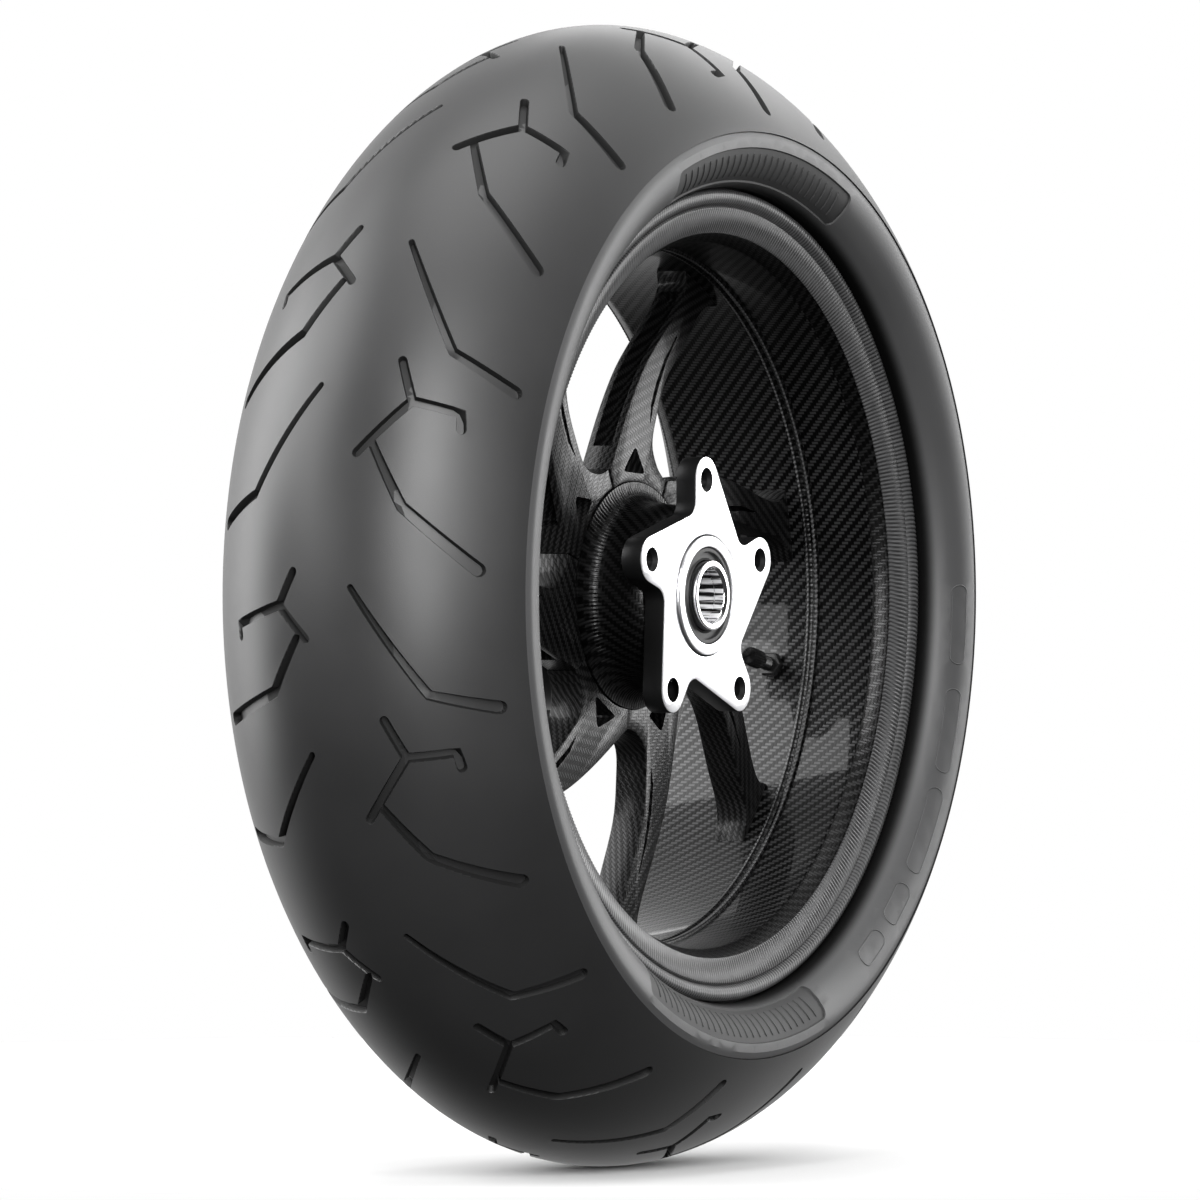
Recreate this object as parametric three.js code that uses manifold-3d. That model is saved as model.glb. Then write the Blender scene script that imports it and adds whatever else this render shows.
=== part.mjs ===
// Rear motorcycle wheel with its tyre: a radial sport tyre on a seven-spoke carbon wheel, with the
// hub, bearings, cush drive and valve. Millimetres. The wheel turns about Y, the brake disc side is
// -Y, the sprocket side is +Y, and +Z is up. The origin is the wheel centre, on the tyre's mid-plane.
import * as THREE from 'three';
import { mergeVertices } from 'three/addons/utils/BufferGeometryUtils.js';
import Module from 'manifold-3d';

const wasm = await Module();
wasm.setup();

// ---- driving dimensions -------------------------------------------------------------------------
const GAP = 0.3; // clearance between pieces that touch on the real wheel

const CROWN_R = 327; // tyre radius at the middle of the tread
const SHOULDER_R = 263.6; // radius where the tread ends and the sidewall begins
const TREAD_HALF = 97.4; // half the tread's width
const CROWN_POWER = 1.86; // fullness of the crown curve
const CROWN_STEP = 22.5; // degrees of the crown curve's own angle between its points
const TYRE_SEGMENTS = 32;
const TREAD_T = 8;
const BELT_T = 2;
const CARCASS_T = 2.4;
const LINER_T = 1.4;
const SIDEWALL_BULGE = 98.4; // half the tyre's full width
const SIDEWALL_T = 5;

const RIM_R = 231.3; // outside of the rim flange
const RIM_HALF = 77.2; // half the rim's outside width
const FLANGE_T = 7;
const BEAD_SEAT_R = 219;
const WELL_R = 207; // outside of the drop centre
const BARREL_R = 201.5; // inside of the barrel
const BARREL_FLAT_R = BARREL_R * Math.cos(Math.PI / TYRE_SEGMENTS); // at the middle of its facets
const LIP_R = 207; // inner edge of the flange's outer face
const RIDGE_Y = [-24.5, -18.5]; // narrow ridge round the inside of the barrel
const RIDGE_H = 2;

const SPOKES = 7;
const SPOKE_ANGLE = 64.5; // direction of the first spoke's foot
const SPOKE_ROOT_R = 65;
const SPOKE_FRONT = -14; // front face at the root
const SPOKE_DEPTH = 20;
const SPOKE_LEAN = 5.5; // how far the face moves to the sprocket side from root to foot
const SPOKE_FLANGE = 4;
const POCKET_DEPTH = 9;

const STAR_FACE = -62.3;
const STAR_T = 12.7;
const LOBES = 5;
const BOLT_R = 66;
const LOBE_R = 13.2;
const LOBE_FLANK = 31.5; // slope of the long side of a lobe, in degrees
const BOLT_HOLE_R = 5;
const BOSS_R = 34;
const BOSS_H = 1.5;

const AXLE_R = 15;
const RACE_R = 27.5;
const BEARING_W = 13;
const BALL_PITCH_R = 21.25;
const BALL_R = 3.8;
const BALLS = 8;
const RACE_LAND = 2.25; // from the ball circle to each race's shoulder
const GROOVE_DEPTH = 2.8;
const GROOVE_HALF = 4.6;
const DISC_BEARING_Y = -52.1;
const DRIVE_BEARING_Y = 15.9;
const CARRIER_BEARING_Y = 56.2;
const SPACER_R = 19;
const COLLAR_R = 19.8;
const COLLAR_DISC_END = -66.5;
const COLLAR_DRIVE_END = 84;

const DRUM_R = 66;
const DRUM_FLOOR = 14.3;
const DRUM_END = 52;
const DRUM_WALL = 4;
const CUSH_IN_R = 38;
const RIB_HALF = 3;
const VANE_HALF = 4;
const CUSH_PLAY = 2.2; // degrees of free travel of a vane in its rubber
const CARRIER_R = 78;
const CARRIER_FACE = 63;
const SPIGOT_R = 58;
const STUD_CIRCLE_R = 68;
const STUD_R = 5;
const STUD_END = 90;

const VALVE_ANGLE = -12;
const VALVE_Y = 3;
const STEM_R = 4.2;
const STEM_HOLE_R = 4.8;

// ---- materials ----------------------------------------------------------------------------------
const finish = (color, roughness, metalness) => new THREE.MeshStandardMaterial({ color, roughness, metalness });
const treadRubber = finish(0x3a3a3c, 0.72, 0);
const sideRubber = finish(0x444446, 0.66, 0);
const innerRubber = finish(0x262627, 0.85, 0);
const ply = finish(0x8c7a58, 0.8, 0);
const steel = finish(0xa9adb2, 0.3, 1);
const carbon = finish(0x1b1c1e, 0.22, 0.1);
const aluminium = finish(0xf0f1f2, 0.3, 1);
const darkAlloy = finish(0x4a4c50, 0.4, 1);
const blackAlloy = finish(0x101112, 0.4, 0.6);
const sealRubber = finish(0x47474a, 0.6, 0);

// ---- geometry helpers ---------------------------------------------------------------------------
const rad = THREE.MathUtils.degToRad;
const polar = (r, degrees) => new THREE.Vector2(r * Math.cos(rad(degrees)), r * Math.sin(rad(degrees)));
const shapeOf = (points) => new THREE.Shape(points);

function merged(geometry) {
  const bare = geometry.clone();
  bare.deleteAttribute('normal');
  bare.deleteAttribute('uv');
  return mergeVertices(bare, 1e-3);
}

function toManifold(geometry) {
  const g = merged(geometry);
  const mesh = new wasm.Mesh({
    numProp: 3,
    vertProperties: new Float32Array(g.attributes.position.array),
    triVerts: new Uint32Array(g.index.array),
  });
  return new wasm.Manifold(mesh);
}

function fromManifold(manifold) {
  const { vertProperties, triVerts } = manifold.getMesh();
  const geometry = new THREE.BufferGeometry();
  geometry.setAttribute('position', new THREE.BufferAttribute(vertProperties, 3));
  geometry.setIndex(new THREE.BufferAttribute(triVerts, 1));
  geometry.computeVertexNormals();
  return geometry;
}

const cut = (geometry, ...tools) =>
  fromManifold(tools.reduce((body, tool) => body.subtract(toManifold(tool)), toManifold(geometry)));
const join = (geometry, ...others) =>
  fromManifold(others.reduce((body, other) => body.add(toManifold(other)), toManifold(geometry)));

// A ring about Y from a closed section of [radius, y] points, in either order round the section.
function ring(section, segments = 36) {
  const points = section.map(([r, y]) => new THREE.Vector2(r, y));
  if (!THREE.ShapeUtils.isClockWise(points)) points.reverse();
  points.reverse();
  return new THREE.LatheGeometry([...points, points[0]], segments);
}

const tube = (rIn, rOut, y0, y1, segments = 18) =>
  ring([[rIn, y0], [rOut, y0], [rOut, y1], [rIn, y1]], segments);

// A flat plate in the XZ plane between two Y levels. The shape's y runs along Z.
function plate(shape, y0, y1) {
  const options = { depth: y1 - y0, bevelEnabled: false };
  return new THREE.ExtrudeGeometry(shape, options).rotateX(Math.PI / 2).translate(0, y1, 0);
}

function roundHole(centre, radius, sides) {
  const points = Array.from({ length: sides }, (_, i) => polar(radius, 360 / sides * i).add(centre));
  return new THREE.Path(points);
}

function rod(radius, y0, y1, x, z, segments = 12) {
  return new THREE.CylinderGeometry(radius, radius, y1 - y0, segments).translate(x, (y0 + y1) / 2, z);
}

const mirrored = (section) => section.map(([r, y]) => [r, -y]);
const wheel = new THREE.Group();

function add(name, geometry, material) {
  const mesh = new THREE.Mesh(geometry, material);
  mesh.name = name;
  wheel.add(mesh);
  return mesh;
}

// ---- tyre ---------------------------------------------------------------------------------------
// One line of the crown at a depth below the tread surface, from the -Y side to the +Y side.
// It runs over a number of equal steps each way from the middle; four steps reach the shoulder.
function crownLine(depth, stepsEachWay) {
  return Array.from({ length: 2 * stepsEachWay + 1 }, (_, i) => {
    const t = rad(CROWN_STEP * (i - stepsEachWay));
    const rise = (CROWN_R - depth - SHOULDER_R) * Math.cos(t) ** CROWN_POWER;
    return [SHOULDER_R + rise, (TREAD_HALF - depth) * Math.sin(t)];
  });
}

function crownBand(depth, thickness, stepsEachWay) {
  return [...crownLine(depth, stepsEachWay), ...crownLine(depth + thickness, stepsEachWay).reverse()];
}

function addTyreCrown() {
  const beltDepth = TREAD_T + GAP;
  add('tread_rubber', ring(crownBand(0, TREAD_T, 4), TYRE_SEGMENTS), treadRubber);
  add('steel_belt', ring(crownBand(beltDepth, BELT_T, 2), TYRE_SEGMENTS), steel);
}

// The casing goes from bead to bead under the belt; its legs run down behind the sidewalls.
function casingSection(depth, thickness, legR, legY) {
  const outer = crownLine(depth, 3);
  const inner = crownLine(depth + thickness, 3).reverse();
  const legs = (side) => [[legR, side * legY], [legR, side * (legY - thickness)]];
  return [...outer, ...legs(1), ...inner, ...legs(-1).reverse()];
}

function addCasing() {
  const plyDepth = TREAD_T + BELT_T + 2 * GAP;
  const linerDepth = plyDepth + CARCASS_T + GAP;
  const legY = RIM_HALF - FLANGE_T - 12;
  add('carcass_plies', ring(casingSection(plyDepth, CARCASS_T, 226, legY), TYRE_SEGMENTS), ply);
  add('inner_liner', ring(casingSection(linerDepth, LINER_T, 229, legY - CARCASS_T - GAP), TYRE_SEGMENTS), innerRubber);
}

// Sidewall rubber from the shoulder down to the top of the rim flange.
function sidewallSection() {
  const top = SHOULDER_R - GAP;
  return [
    [top, TREAD_HALF],
    [top - 6, SIDEWALL_BULGE],
    [top - 16, TREAD_HALF - 1.2],
    [top - 25, TREAD_HALF - 7.5],
    [RIM_R + 1.2, RIM_HALF + 1.5],
    [RIM_R + 1.2, RIM_HALF - SIDEWALL_T],
    [top - 16, TREAD_HALF - 2.4 * SIDEWALL_T],
    [top, TREAD_HALF - 1.5 * SIDEWALL_T],
  ];
}

function addSide(side, place) {
  const bead = RIM_HALF - FLANGE_T - GAP;
  const wireY = bead - 8;
  const seat = BEAD_SEAT_R + 0.6;
  const wire = [[seat + 2.4, wireY], [seat + 2.4, wireY + 5], [seat + 6, wireY + 5], [seat + 6, wireY]];
  const filler = [
    [RIM_R - 3.8, bead - 9.8], [RIM_R - 3.8, bead - 4],
    [RIM_R + 15.7, bead + 6.5], [RIM_R + 15.7, bead + 1.6],
  ];
  const chafer = [
    [seat, bead - 14], [seat, bead - 1], [RIM_R - 1.3, bead],
    [RIM_R - 1.3, bead - 2], [seat + 2, bead - 2], [seat + 2, bead - 14],
  ];
  add(`sidewall_${side}_side`, ring(place(sidewallSection()), TYRE_SEGMENTS), sideRubber);
  add(`bead_wire_${side}_side`, ring(place(wire), TYRE_SEGMENTS), steel);
  add(`bead_filler_${side}_side`, ring(place(filler), TYRE_SEGMENTS), innerRubber);
  add(`bead_chafer_${side}_side`, ring(place(chafer), TYRE_SEGMENTS), innerRubber);
}

// ---- carbon wheel -------------------------------------------------------------------------------
function rimEdge() {
  const seatEdge = RIM_HALF - FLANGE_T;
  return [
    [BARREL_R, RIM_HALF - 16],
    [LIP_R, RIM_HALF - 6.4],
    [RIM_R - 1.8, RIM_HALF],
    [RIM_R, RIM_HALF - 1.5],
    [RIM_R, seatEdge + 2],
    [RIM_R - 2, seatEdge],
    [BEAD_SEAT_R, seatEdge - 1],
    [BEAD_SEAT_R - 1.6, seatEdge - 18],
    [WELL_R, seatEdge - 34],
  ];
}

function addRim() {
  const [ridgeNear, ridgeFar] = RIDGE_Y;
  const ridgeR = BARREL_R - RIDGE_H;
  const section = [
    ...rimEdge(), ...mirrored(rimEdge()).reverse(),
    [BARREL_R, ridgeNear], [ridgeR, ridgeNear + 0.5], [ridgeR, ridgeFar - 0.5], [BARREL_R, ridgeFar],
  ];
  const hole = valvePiece(STEM_HOLE_R, BARREL_R - 4, WELL_R + 4);
  add('rim_barrel', cut(ring(section, TYRE_SEGMENTS), hole), carbon);
}

// A spoke's edges as [radius, degrees from its foot], from the root to the foot.
const LEADING_EDGE = [[77, 45.9], [105, 28.1], [130, 18.8], [150, 12.2], [170, 6.9], [185, 4.2]];
const TRAILING_EDGE = [[77, -2], [80, 4], [90, 9.5], [106, 9], [131, 6.3], [163, 0.2], [183, -2.2]];
const ROOT_START = -5.2;
const FOOT = [-7.4, 4.6];

function arc(radius, from, to, steps) {
  return Array.from({ length: steps + 1 }, (_, i) => polar(radius, from + (to - from) * i / steps));
}

function spokeOutline() {
  const pitch = 360 / SPOKES;
  const rootR = SPOKE_ROOT_R + GAP;
  const rootEnd = ROOT_START + pitch - 0.4;
  return [
    ...arc(rootR, ROOT_START, rootEnd, 5).reverse(),
    polar(77, ROOT_START),
    ...TRAILING_EDGE.map(([r, a]) => polar(r, a)),
    ...arc(BARREL_FLAT_R - GAP, FOOT[0], FOOT[1], 2),
    ...LEADING_EDGE.map(([r, a]) => polar(r, a)).reverse(),
  ];
}

// The side pocket that leaves an I-shaped section, as an outline along the leading edge.
function pocketOutline() {
  const along = LEADING_EDGE.slice(1, -1);
  const inside = along.map(([r, a]) => polar(r, a).sub(new THREE.Vector2(2, POCKET_DEPTH)));
  const outside = along.map(([r, a]) => polar(r, a).add(new THREE.Vector2(3, 6)));
  return [...inside, ...outside.reverse()];
}

function spokeGeometry() {
  const shape = shapeOf(spokeOutline());
  shape.holes.push(new THREE.Path([polar(86, 23), polar(72, 35), polar(71, 14)]));
  const back = SPOKE_FRONT + SPOKE_DEPTH;
  const pocket = plate(shapeOf(pocketOutline()), SPOKE_FRONT + SPOKE_FLANGE, back - SPOKE_FLANGE);
  const geometry = cut(plate(shape, SPOKE_FRONT, back), pocket);
  const position = geometry.attributes.position;
  const slope = SPOKE_LEAN / (BARREL_R - SPOKE_ROOT_R);
  for (let i = 0; i < position.count; i += 1) {
    position.setY(i, position.getY(i) + slope * (position.getX(i) - SPOKE_ROOT_R));
  }
  return geometry;
}

function addSpokes() {
  const geometry = spokeGeometry();
  for (let i = 0; i < SPOKES; i += 1) {
    const spoke = add(`spoke_${i + 1}`, geometry, carbon);
    spoke.rotation.y = -rad(SPOKE_ANGLE - 360 / SPOKES * i);
  }
}

// ---- hub ----------------------------------------------------------------------------------------
function addHub() {
  const pocket = RACE_R + GAP;
  const discStep = DISC_BEARING_Y + BEARING_W / 2 + GAP;
  const driveStep = DRIVE_BEARING_Y - BEARING_W / 2 - GAP;
  const sleeve = [
    [BOSS_R, STAR_FACE - BOSS_H], [pocket, STAR_FACE - BOSS_H], [pocket, discStep], [24, discStep],
    [24, driveStep], [pocket, driveStep], [pocket, DRUM_FLOOR + 10], [BOSS_R, DRUM_FLOOR + 10],
  ];
  const shellEnd = STAR_FACE + STAR_T + GAP;
  const shell = [
    [BOSS_R + GAP, shellEnd], [50, shellEnd], [53, -36], [54, -24], [57, -18.5], [SPOKE_ROOT_R, -15],
    [SPOKE_ROOT_R, DRUM_FLOOR - GAP], [BOSS_R + GAP, DRUM_FLOOR - GAP],
  ];
  add('hub_sleeve', ring(sleeve, 28), aluminium);
  add('hub_shell', ring(shell, 28), carbon);
}

// One lobe's outline in the star's own turn: round end, straight flank, and the notch to the next.
function lobeOutline(turn) {
  const end = new THREE.Vector2(BOLT_R, 0);
  const around = [LOBE_FLANK - 90, -45, -15, 15, 45, 90].map((a) => polar(LOBE_R, a).add(end));
  const flankLength = 50;
  const flankStart = around[0];
  const flankEnd = flankStart.clone().sub(polar(flankLength, LOBE_FLANK));
  const notch = [new THREE.Vector2(53, LOBE_R), new THREE.Vector2(49.5, LOBE_R + 1)];
  const corner = new THREE.Vector2();
  return [flankEnd, ...around, ...notch].map((p) => p.clone().rotateAround(corner, rad(turn)));
}

function starGeometry() {
  const pitch = 360 / LOBES;
  const shape = shapeOf(Array.from({ length: LOBES }, (_, i) => lobeOutline(90 + pitch * i)).flat());
  const centre = new THREE.Vector2();
  const holes = Array.from({ length: LOBES }, (_, i) => roundHole(polar(BOLT_R, 90 + pitch * i), BOLT_HOLE_R, 12));
  shape.holes.push(roundHole(centre, BOSS_R + GAP, 28), ...holes);
  return plate(shape, STAR_FACE, STAR_FACE + STAR_T);
}

function raceSection(shoulderR, outward, faceR) {
  const half = BEARING_W / 2;
  const grooveR = shoulderR + outward * GROOVE_DEPTH;
  return [
    [faceR, -half], [shoulderR, -half], [shoulderR, -GROOVE_HALF], [grooveR, 0],
    [shoulderR, GROOVE_HALF], [shoulderR, half], [faceR, half],
  ];
}

function ballCage() {
  const balls = Array.from({ length: BALLS }, (_, i) => {
    const { x, y } = polar(BALL_PITCH_R, 360 / BALLS * i);
    return new THREE.OctahedronGeometry(BALL_R, 1).translate(x, 0, y);
  });
  return join(tube(BALL_PITCH_R - 1, BALL_PITCH_R + 1, -2.4, 2.4, 2 * BALLS), ...balls);
}

function addBearing(name, y) {
  const innerShoulder = BALL_PITCH_R - RACE_LAND;
  const outerShoulder = BALL_PITCH_R + RACE_LAND;
  add(`${name}_inner_race`, ring(raceSection(innerShoulder, -1, AXLE_R), 18).translate(0, y, 0), steel);
  add(`${name}_outer_race`, ring(raceSection(outerShoulder, 1, RACE_R), 18).translate(0, y, 0), steel);
  add(`${name}_balls`, ballCage().translate(0, y, 0), steel);
}

function addAxleParts() {
  const half = BEARING_W / 2 + GAP;
  const chamfer = 1.5;
  const mouth = [
    [AXLE_R + chamfer, COLLAR_DISC_END], [COLLAR_R, COLLAR_DISC_END],
    [COLLAR_R, DISC_BEARING_Y - half], [AXLE_R, DISC_BEARING_Y - half], [AXLE_R, COLLAR_DISC_END + chamfer],
  ];
  add('spacer_tube', tube(AXLE_R, SPACER_R, DISC_BEARING_Y + half, DRIVE_BEARING_Y - half), darkAlloy);
  add('carrier_spacer', tube(AXLE_R, SPACER_R, DRIVE_BEARING_Y + half, CARRIER_BEARING_Y - half), darkAlloy);
  add('collar_disc_side', ring(mouth, 24), aluminium);
  add('collar_drive_side', tube(AXLE_R, COLLAR_R, CARRIER_BEARING_Y + half, COLLAR_DRIVE_END), aluminium);
}

function addSeals() {
  const inner = COLLAR_R + 0.4;
  const outer = RACE_R - GAP;
  const discBack = DISC_BEARING_Y - BEARING_W / 2 - GAP;
  const driveFront = CARRIER_BEARING_Y + BEARING_W / 2 + GAP;
  add('seal_disc_side', tube(inner, outer, discBack - 4.2, discBack), sealRubber);
  add('seal_drive_side', tube(inner, outer, driveFront, driveFront + 5), sealRubber);
}

// ---- cush drive and sprocket carrier ------------------------------------------------------------
const CUSH_PITCH = 360 / 5;

function sector(r0, r1, from, to, steps = 3) {
  return shapeOf([...arc(r1, from, to, steps), ...arc(r0, from, to, steps).reverse()]);
}

// A radial wall of even thickness, centred on an angle.
function radialWall(r0, r1, half, y0, y1, angle) {
  const size = new THREE.BoxGeometry(r1 - r0, y1 - y0, 2 * half);
  return size.translate((r0 + r1) / 2, (y0 + y1) / 2, 0).rotateY(-rad(angle));
}

const fiveTimes = (make) => Array.from({ length: 5 }, (_, i) => make(CUSH_PITCH * i + 18));

function addCushDrum() {
  const inside = DRUM_R - DRUM_WALL;
  const floor = BOSS_R + GAP;
  const cup = [
    [floor, DRUM_FLOOR], [DRUM_R, DRUM_FLOOR], [DRUM_R, DRUM_END],
    [inside, DRUM_END], [inside, DRUM_FLOOR + 4], [floor, DRUM_FLOOR + 4],
  ];
  const rib = (angle) => radialWall(CUSH_IN_R, inside + 1, RIB_HALF, DRUM_FLOOR + 3, DRUM_END - 4, angle);
  add('cush_drum', join(ring(cup, 30), ...fiveTimes(rib)), darkAlloy);
}

// Each rubber fills the room between two ribs and is slotted for one vane of the carrier.
function addCushRubbers() {
  const outer = DRUM_R - DRUM_WALL - 0.5;
  const ribSide = 4.6;
  const slot = 5.2 + CUSH_PLAY;
  fiveTimes((angle) => angle).forEach((angle, i) => {
    const middle = angle + CUSH_PITCH / 2;
    const low = angle + ribSide;
    const high = angle + CUSH_PITCH - ribSide;
    const outline = [
      ...arc(outer, low, high, 6),
      ...arc(CUSH_IN_R + 3, middle + 1.5 * slot, high, 1).reverse(),
      ...arc(outer - 4, middle - slot, middle + slot, 1).reverse(),
      ...arc(CUSH_IN_R + 3, low, middle - 1.5 * slot, 1).reverse(),
    ];
    add(`cush_rubber_${i + 1}`, plate(shapeOf(outline), DRUM_FLOOR + 4.5, DRUM_END - 4), sealRubber);
  });
}

function addCarrier() {
  const pocket = RACE_R + GAP;
  const step = CARRIER_BEARING_Y - BEARING_W / 2 - GAP;
  const tubeR = BOSS_R - 0.5;
  const section = [
    [24, step - 6], [tubeR, step - 6], [tubeR, DRUM_END + 1], [CARRIER_R, DRUM_END + 1],
    [CARRIER_R, CARRIER_FACE], [SPIGOT_R, CARRIER_FACE], [SPIGOT_R, CARRIER_FACE + 4],
    [tubeR + 4, CARRIER_FACE + 8], [pocket, CARRIER_FACE + 8], [pocket, step], [24, step],
  ];
  const vane = (angle) => radialWall(CUSH_IN_R + 4, 55, VANE_HALF, DRUM_FLOOR + 8, DRUM_END + 3, angle + 36);
  const studHole = (angle) => {
    const { x, y } = polar(STUD_CIRCLE_R, angle);
    return rod(STUD_R + GAP, DRUM_END - 2, CARRIER_FACE + 2, x, y, 8);
  };
  const body = join(ring(section, 30), ...fiveTimes(vane));
  add('sprocket_carrier', cut(body, ...fiveTimes(studHole)), darkAlloy);
  fiveTimes((angle) => polar(STUD_CIRCLE_R, angle)).forEach(({ x, y }, i) => {
    add(`sprocket_stud_${i + 1}`, rod(STUD_R, DRUM_END + 1.2, STUD_END, x, y, 8), steel);
  });
}

// ---- valve --------------------------------------------------------------------------------------
// A round piece on the valve's own line, between two distances from the wheel's axis.
function valvePiece(radius, r0, r1, segments = 12) {
  const length = r1 - r0;
  const piece = new THREE.CylinderGeometry(radius, radius, length, segments).rotateZ(-Math.PI / 2);
  return onValveLine(piece.translate((r0 + r1) / 2, 0, 0));
}

function onValveLine(geometry) {
  return geometry.translate(0, VALVE_Y, 0).rotateY(-rad(VALVE_ANGLE));
}

function addValve() {
  const seat = BARREL_FLAT_R - GAP;
  const tip = seat - 27;
  const stem = join(valvePiece(STEM_R, tip, WELL_R + 2), valvePiece(7, WELL_R + 1, WELL_R + 4));
  const nut = valvePiece(7.4, seat - 6, seat, 6);
  const cap = valvePiece(5.4, tip - 3, tip + 10);
  add('valve_stem', cut(stem, valvePiece(2.4, tip - 1, WELL_R + 6, 10)), blackAlloy);
  add('valve_nut', cut(nut, valvePiece(STEM_R + GAP, seat - 8, seat + 2)), blackAlloy);
  add('valve_seal', cut(valvePiece(7, WELL_R + 0.3, WELL_R + 0.7), valvePiece(4.6, WELL_R, WELL_R + 1)), sealRubber);
  add('valve_pin', join(valvePiece(0.9, tip + 0.6, tip + 16, 8), valvePiece(1.8, tip + 12, tip + 14, 8)), steel);
  add('valve_cap', cut(cap, valvePiece(STEM_R + GAP, tip - GAP, tip + 12)), blackAlloy);
}

// ---- assembly -----------------------------------------------------------------------------------
addTyreCrown();
addCasing();
addSide('disc', mirrored);
addSide('drive', (section) => section);
addRim();
addSpokes();
addHub();
add('brake_disc_carrier', starGeometry(), aluminium);
addBearing('bearing_disc_side', DISC_BEARING_Y);
addBearing('bearing_drive_side', DRIVE_BEARING_Y);
addBearing('bearing_carrier', CARRIER_BEARING_Y);
addAxleParts();
addSeals();
addCushDrum();
addCushRubbers();
addCarrier();
addValve();

export default wheel;
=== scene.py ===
"""Looks of the rear motorcycle wheel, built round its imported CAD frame.

Outlines are in millimetres and become metres when a piece is made. The wheel turns about Y, the
brake disc side is -Y, and angles are degrees from +X towards +Z.
"""

import math

import bmesh
import bpy
import numpy as np
from mathutils import Matrix, Vector
from mathutils.geometry import delaunay_2d_cdt


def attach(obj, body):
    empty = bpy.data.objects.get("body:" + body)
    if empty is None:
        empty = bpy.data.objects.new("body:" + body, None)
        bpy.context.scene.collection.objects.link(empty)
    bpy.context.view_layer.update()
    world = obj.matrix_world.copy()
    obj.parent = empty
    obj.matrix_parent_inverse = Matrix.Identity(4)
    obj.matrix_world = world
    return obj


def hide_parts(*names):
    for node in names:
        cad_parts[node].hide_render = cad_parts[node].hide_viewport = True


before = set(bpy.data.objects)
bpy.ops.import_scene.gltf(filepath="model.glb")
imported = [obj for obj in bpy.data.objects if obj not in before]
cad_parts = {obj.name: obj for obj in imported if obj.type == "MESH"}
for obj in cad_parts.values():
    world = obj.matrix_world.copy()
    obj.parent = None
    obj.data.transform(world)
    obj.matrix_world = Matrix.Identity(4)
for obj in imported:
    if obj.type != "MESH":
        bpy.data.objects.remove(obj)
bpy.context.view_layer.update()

MM = 0.001
REF_R = 300  # radius at which a mark's angle becomes a length

# Tyre
CROWN_R, SHOULDER_R, TREAD_HALF, CROWN_POWER = 327, 263.6, 97.4, 1.86
TREAD_T = 8
PITCHES = 10  # the tread pattern repeats this many times
TREAD_SPLIT = -8  # line between the halves of the pattern, clear of every groove
COLUMN = 1.5  # degrees between the tread mesh's columns

# Rim
BARREL_R, RIM_R = 201.5, 231.3
SLOPE_START = 61.4  # distance from the middle at which the barrel's sloped edge begins
RIDGE_MIDDLE = -21.5
RIDGE_BEAD = (2.1, 3.3)  # where a light bead lies, from the ridge's own middle
TOW = 2.0  # width of a carbon tow
LIP_RIBS, RIDGE_RIBS, HUB_RIBS = 552, 418, 150  # tows that stand out round each edge

# Spokes
SPOKES, SPOKE_ANGLE, SPOKE_ROOT_R = 7, 64.5, 65
SPOKE_FRONT, SPOKE_BACK, SPOKE_LEAN = -14, 6, 5.5

# Hub and drive side
STAR_FACE, STAR_T = -62.3, 12.7
LOBES, BOLT_R, LOBE_R = 5, 66, 13.2
BOLT_HOLE_R, CHAMFER_R = 5.0, 7.1
BOSS_R, BOSS_H = 34, 1.5
RACE_R, COLLAR_R, AXLE_R = 27.5, 19.8, 15
DRUM_R, DRUM_FLOOR, DRUM_END = 66, 14.3, 52
CARRIER_R, CARRIER_FACE = 78, 63
STUD_CIRCLE_R, STUD_R, STUD_END = 68, 5, 90
VALVE_ANGLE, VALVE_Y, VALVE_SEAT, VALVE_TIP = -12, 3, 200.2, 173.2
VALVE_HOLE_R = 4.8


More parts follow.
